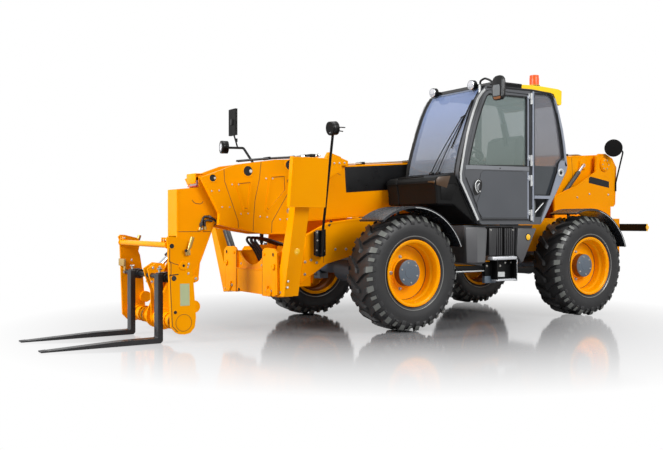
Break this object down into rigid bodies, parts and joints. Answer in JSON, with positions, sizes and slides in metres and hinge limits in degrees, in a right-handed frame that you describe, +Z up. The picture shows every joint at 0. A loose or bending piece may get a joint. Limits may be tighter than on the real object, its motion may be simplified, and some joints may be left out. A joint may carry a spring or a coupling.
{
  "type": "telescopic handler",
  "caption": "Rough-terrain telescopic handler: four-section boom with pallet forks, offset cab, front stabilisers and four steered lugged wheels.",
  "frame": {"origin": "centre of the outline on the ground plane", "axes": "+X forward to the fork tips, +Y to the cab side (left), +Z up"},
  "size_m": [8.05, 2.8131, 2.9049],
  "materials": {
    "chassis": "gloss",
    "front_frame": "gloss",
    "engine_block": "painted",
    "cab_frame": "satin",
    "cab_roof": "gloss",
    "cab_glass": "clear, lightly tinted",
    "cab_interior": "matt",
    "front_cowl": "satin",
    "side_tank": "satin",
    "front_axle": "painted",
    "rear_axle": "painted",
    "lamps_and_mirrors": "satin",
    "engine_cover": "gloss",
    "cab_door": "satin",
    "door_glass": "clear, lightly tinted",
    "boom_outer": "gloss",
    "boom_second": "gloss",
    "boom_third": "gloss",
    "boom_inner": "gloss",
    "lift_barrel": "satin",
    "lift_rod": "polished",
    "compensation_barrel": "satin",
    "compensation_rod": "polished",
    "tilt_barrel": "satin",
    "tilt_rod": "polished",
    "carriage": "gloss",
    "forks": "satin",
    "knuckle_front_left": "satin",
    "rim_front_left": "gloss",
    "tyre_front_left": "matt",
    "knuckle_front_right": "satin",
    "rim_front_right": "gloss",
    "tyre_front_right": "matt",
    "knuckle_rear_left": "satin",
    "rim_rear_left": "gloss",
    "tyre_rear_left": "matt",
    "knuckle_rear_right": "satin",
    "rim_rear_right": "gloss",
    "tyre_rear_right": "matt",
    "stabiliser_left": "gloss",
    "stabiliser_barrel_left": "satin",
    "stabiliser_rod_left": "polished",
    "stabiliser_right": "gloss",
    "stabiliser_barrel_right": "satin",
    "stabiliser_rod_right": "polished"
  },
  "bodies": {
    "machine": {"chassis": "chassis", "front_frame": "front_frame", "engine_block": "engine_block", "cab_frame": "cab_frame", "cab_roof": "cab_roof", "cab_glass": "cab_glass", "cab_interior": "cab_interior", "front_cowl": "front_cowl", "side_tank": "side_tank", "front_axle": "front_axle", "rear_axle": "rear_axle", "lamps_and_mirrors": "lamps_and_mirrors"},
    "hood": {"engine_cover": "engine_cover"},
    "door": {"cab_door": "cab_door", "door_glass": "door_glass"},
    "boom": {"boom_outer": "boom_outer"},
    "second": {"boom_second": "boom_second"},
    "third": {"boom_third": "boom_third"},
    "inner": {"boom_inner": "boom_inner"},
    "lift_barrel": {"lift_barrel": "lift_barrel"},
    "lift_rod": {"lift_rod": "lift_rod"},
    "compensation_barrel": {"compensation_barrel": "compensation_barrel"},
    "compensation_rod": {"compensation_rod": "compensation_rod"},
    "tilt_barrel": {"tilt_barrel": "tilt_barrel"},
    "tilt_rod": {"tilt_rod": "tilt_rod"},
    "carriage": {"carriage": "carriage", "forks": "forks"},
    "knuckle_front_left": {"knuckle_front_left": "knuckle_front_left"},
    "wheel_front_left": {"rim_front_left": "rim_front_left", "tyre_front_left": "tyre_front_left"},
    "knuckle_front_right": {"knuckle_front_right": "knuckle_front_right"},
    "wheel_front_right": {"rim_front_right": "rim_front_right", "tyre_front_right": "tyre_front_right"},
    "knuckle_rear_left": {"knuckle_rear_left": "knuckle_rear_left"},
    "wheel_rear_left": {"rim_rear_left": "rim_rear_left", "tyre_rear_left": "tyre_rear_left"},
    "knuckle_rear_right": {"knuckle_rear_right": "knuckle_rear_right"},
    "wheel_rear_right": {"rim_rear_right": "rim_rear_right", "tyre_rear_right": "tyre_rear_right"},
    "stabiliser_left": {"stabiliser_left": "stabiliser_left"},
    "stabiliser_barrel_left": {"stabiliser_barrel_left": "stabiliser_barrel_left"},
    "stabiliser_rod_left": {"stabiliser_rod_left": "stabiliser_rod_left"},
    "stabiliser_right": {"stabiliser_right": "stabiliser_right"},
    "stabiliser_barrel_right": {"stabiliser_barrel_right": "stabiliser_barrel_right"},
    "stabiliser_rod_right": {"stabiliser_rod_right": "stabiliser_rod_right"}
  },
  "joints": [
    {"name": "front_steer_left", "type": "hinge", "parent": "machine", "child": "knuckle_front_left", "pos_m": [0.383, 0.68655, 0.62], "axis": [0, 0, 1], "range_deg": [-30, 30]},
    {"name": "front_wheel_left", "type": "hinge", "parent": "knuckle_front_left", "child": "wheel_front_left", "pos_m": [0.383, 0.91155, 0.62], "axis": [0, 1, 0], "continuous": true},
    {"name": "front_steer_right", "type": "hinge", "parent": "machine", "child": "knuckle_front_right", "pos_m": [0.383, -0.80345, 0.62], "axis": [0, 0, 1], "range_deg": [-30, 30]},
    {"name": "front_wheel_right", "type": "hinge", "parent": "knuckle_front_right", "child": "wheel_front_right", "pos_m": [0.383, -1.02845, 0.62], "axis": [0, 1, 0], "continuous": true},
    {"name": "rear_steer_left", "type": "hinge", "parent": "machine", "child": "knuckle_rear_left", "pos_m": [-2.373, 0.68655, 0.62], "axis": [0, 0, 1], "range_deg": [-30, 30]},
    {"name": "rear_wheel_left", "type": "hinge", "parent": "knuckle_rear_left", "child": "wheel_rear_left", "pos_m": [-2.373, 0.91155, 0.62], "axis": [0, 1, 0], "continuous": true},
    {"name": "rear_steer_right", "type": "hinge", "parent": "machine", "child": "knuckle_rear_right", "pos_m": [-2.373, -0.80345, 0.62], "axis": [0, 0, 1], "range_deg": [-30, 30]},
    {"name": "rear_wheel_right", "type": "hinge", "parent": "knuckle_rear_right", "child": "wheel_rear_right", "pos_m": [-2.373, -1.02845, 0.62], "axis": [0, 1, 0], "continuous": true},
    {"name": "boom_lift", "type": "hinge", "parent": "machine", "child": "boom", "pos_m": [-3.755, -0.05845, 1.97], "axis": [0, -1, 0], "range_deg": [0, 70]},
    {"name": "boom_extend", "type": "slide", "parent": "boom", "child": "second", "axis": [0.9975, 0, -0.0713], "range_m": [0, 4.3]},
    {"name": "third_extend", "type": "slide", "parent": "second", "child": "third", "axis": [0.9975, 0, -0.0713], "range_m": [0, 4.3]},
    {"name": "inner_extend", "type": "slide", "parent": "third", "child": "inner", "axis": [0.9975, 0, -0.0713], "range_m": [0, 4.3]},
    {"name": "lift_barrel_turn", "type": "hinge", "parent": "machine", "child": "lift_barrel", "pos_m": [-3.445, -0.05845, 0.85], "axis": [0, -1, 0], "range_deg": [0, 54.93]},
    {"name": "lift_rod_slide", "type": "slide", "parent": "lift_barrel", "child": "lift_rod", "axis": [0.9648, 0, 0.2628], "range_m": [0, 1.1989]},
    {"name": "compensation_barrel_turn", "type": "hinge", "parent": "machine", "child": "compensation_barrel", "pos_m": [-2.945, 0.14955, 1.5], "axis": [0, -1, 0], "range_deg": [-5.2, 0]},
    {"name": "compensation_rod_slide", "type": "slide", "parent": "compensation_barrel", "child": "compensation_rod", "axis": [-0.7071, 0, 0.7071], "range_m": [0, 0.4079]},
    {"name": "carriage_tilt", "type": "hinge", "parent": "inner", "child": "carriage", "pos_m": [2.732, -0.05845, 0.192], "axis": [0, 1, 0], "range_deg": [-12, 30]},
    {"name": "tilt_barrel_turn", "type": "hinge", "parent": "inner", "child": "tilt_barrel", "pos_m": [2.335, -0.05845, 1.09], "axis": [0, 1, 0], "range_deg": [-7.6, 3.04]},
    {"name": "tilt_rod_slide", "type": "slide", "parent": "tilt_barrel", "child": "tilt_rod", "axis": [0.7368, 0, -0.6761], "range_m": [-0.09034, 0.2257]},
    {"name": "stabiliser_left_swing", "type": "hinge", "parent": "machine", "child": "stabiliser_left", "pos_m": [1.6, 0.41155, 0.43], "axis": [-1, 0, 0], "range_deg": [0, 82]},
    {"name": "stabiliser_barrel_left_turn", "type": "hinge", "parent": "machine", "child": "stabiliser_barrel_left", "pos_m": [1.6, 0.49155, 0.7], "axis": [-1, 0, 0], "range_deg": [0, 99.61]},
    {"name": "stabiliser_rod_left_slide", "type": "slide", "parent": "stabiliser_barrel_left", "child": "stabiliser_rod_left", "axis": [0, 0.3237, 0.9462], "range_m": [0, 0.29561]},
    {"name": "stabiliser_right_swing", "type": "hinge", "parent": "machine", "child": "stabiliser_right", "pos_m": [1.6, -0.52845, 0.43], "axis": [1, 0, 0], "range_deg": [0, 70]},
    {"name": "stabiliser_barrel_right_turn", "type": "hinge", "parent": "machine", "child": "stabiliser_barrel_right", "pos_m": [1.6, -0.60845, 0.7], "axis": [1, 0, 0], "range_deg": [0, 82.13]},
    {"name": "stabiliser_rod_right_slide", "type": "slide", "parent": "stabiliser_barrel_right", "child": "stabiliser_rod_right", "axis": [0, -0.5925, 0.8056], "range_m": [0, 0.28423]},
    {"name": "door_swing", "type": "hinge", "parent": "machine", "child": "door", "pos_m": [-1.3925, 1.07355, 1.9], "axis": [0, 0, 1], "range_deg": [0, 95]},
    {"name": "hood_lift", "type": "hinge", "parent": "machine", "child": "hood", "pos_m": [-0.995, -0.38345, 1.515], "axis": [-1, 0, 0], "range_deg": [0, 55]}
  ],
  "couplings": [
    {"joint": "front_steer_right", "follows": "front_steer_left", "ratio": 1},
    {"joint": "rear_steer_right", "follows": "rear_steer_left", "ratio": 1},
    {"joint": "third_extend", "follows": "boom_extend", "ratio": 1},
    {"joint": "inner_extend", "follows": "boom_extend", "ratio": 1},
    {"joint": "lift_barrel_turn", "follows": "boom_lift", "ratio": 0.78317},
    {"joint": "lift_rod_slide", "follows": "boom_lift", "m_per_rad": 0.97927},
    {"joint": "compensation_barrel_turn", "follows": "boom_lift", "ratio": -0.074083},
    {"joint": "compensation_rod_slide", "follows": "boom_lift", "m_per_rad": 0.33312},
    {"joint": "tilt_barrel_turn", "follows": "carriage_tilt", "ratio": -0.2528},
    {"joint": "tilt_rod_slide", "follows": "carriage_tilt", "m_per_rad": 0.43},
    {"joint": "stabiliser_barrel_left_turn", "follows": "stabiliser_left_swing", "ratio": 1.2124},
    {"joint": "stabiliser_rod_left_slide", "follows": "stabiliser_left_swing", "m_per_rad": 0.20607},
    {"joint": "stabiliser_barrel_right_turn", "follows": "stabiliser_right_swing", "ratio": 1.171},
    {"joint": "stabiliser_rod_right_slide", "follows": "stabiliser_right_swing", "m_per_rad": 0.2321}
  ]
}
